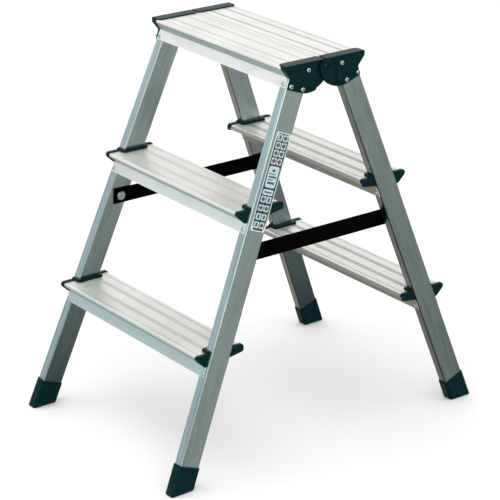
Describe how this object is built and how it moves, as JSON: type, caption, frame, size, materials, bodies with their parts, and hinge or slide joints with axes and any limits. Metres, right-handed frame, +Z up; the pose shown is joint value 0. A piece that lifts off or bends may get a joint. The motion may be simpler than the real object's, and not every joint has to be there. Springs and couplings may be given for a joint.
{
  "type": "step ladder",
  "caption": "Double-sided folding aluminium step ladder with flat treads, a split platform that hinges in the middle and two webbing straps that limit the spread.",
  "frame": {"origin": "on the floor, at the centre of the footprint of the four feet", "axes": "+Z up, +X to the right across the treads, +Y to the rear; the two frames open along Y"},
  "size_m": [0.4516, 0.6882, 0.7022],
  "materials": {
    "stile_aluminium": "mill finish extrusion",
    "tread_aluminium": "bright satin extrusion",
    "black_plastic": "moulded, fine grain",
    "rivet_aluminium": "plain",
    "pin_steel": "dark zinc",
    "webbing": "woven polyester",
    "label_film": "printed film"
  },
  "bodies": {
    "front_frame": {"front_cap_lower_left": "black_plastic", "front_cap_lower_right": "black_plastic", "front_cap_middle_left": "black_plastic", "front_cap_middle_right": "black_plastic", "front_foot_left": "black_plastic", "front_foot_right": "black_plastic", "front_hinge_plate_left": "black_plastic", "front_hinge_plate_right": "black_plastic", "front_hinge_rivets": "rivet_aluminium", "front_platform": "tread_aluminium", "front_stile_left": "stile_aluminium", "front_stile_right": "stile_aluminium", "front_strap_rivets": "rivet_aluminium", "front_tread_lower": "tread_aluminium", "front_tread_middle": "tread_aluminium", "front_tread_rivets": "rivet_aluminium", "hinge_pin_left": "pin_steel", "hinge_pin_right": "pin_steel", "label": "label_film", "spread_strap_left": "webbing", "spread_strap_right": "webbing"},
    "rear_frame": {"rear_cap_lower_left": "black_plastic", "rear_cap_lower_right": "black_plastic", "rear_cap_middle_left": "black_plastic", "rear_cap_middle_right": "black_plastic", "rear_foot_left": "black_plastic", "rear_foot_right": "black_plastic", "rear_hinge_plate_left": "black_plastic", "rear_hinge_plate_right": "black_plastic", "rear_hinge_rivets": "rivet_aluminium", "rear_platform": "tread_aluminium", "rear_stile_left": "stile_aluminium", "rear_stile_right": "stile_aluminium", "rear_strap_rivets": "rivet_aluminium", "rear_tread_lower": "tread_aluminium", "rear_tread_middle": "tread_aluminium", "rear_tread_rivets": "rivet_aluminium"}
  },
  "joints": [
    {"name": "frame_fold", "type": "hinge", "parent": "front_frame", "child": "rear_frame", "pos_m": [0, 0, 0.689], "axis": [-1, 0, 0], "range_deg": [0, 41], "deforming": ["spread_strap_left", "spread_strap_right"]}
  ]
}
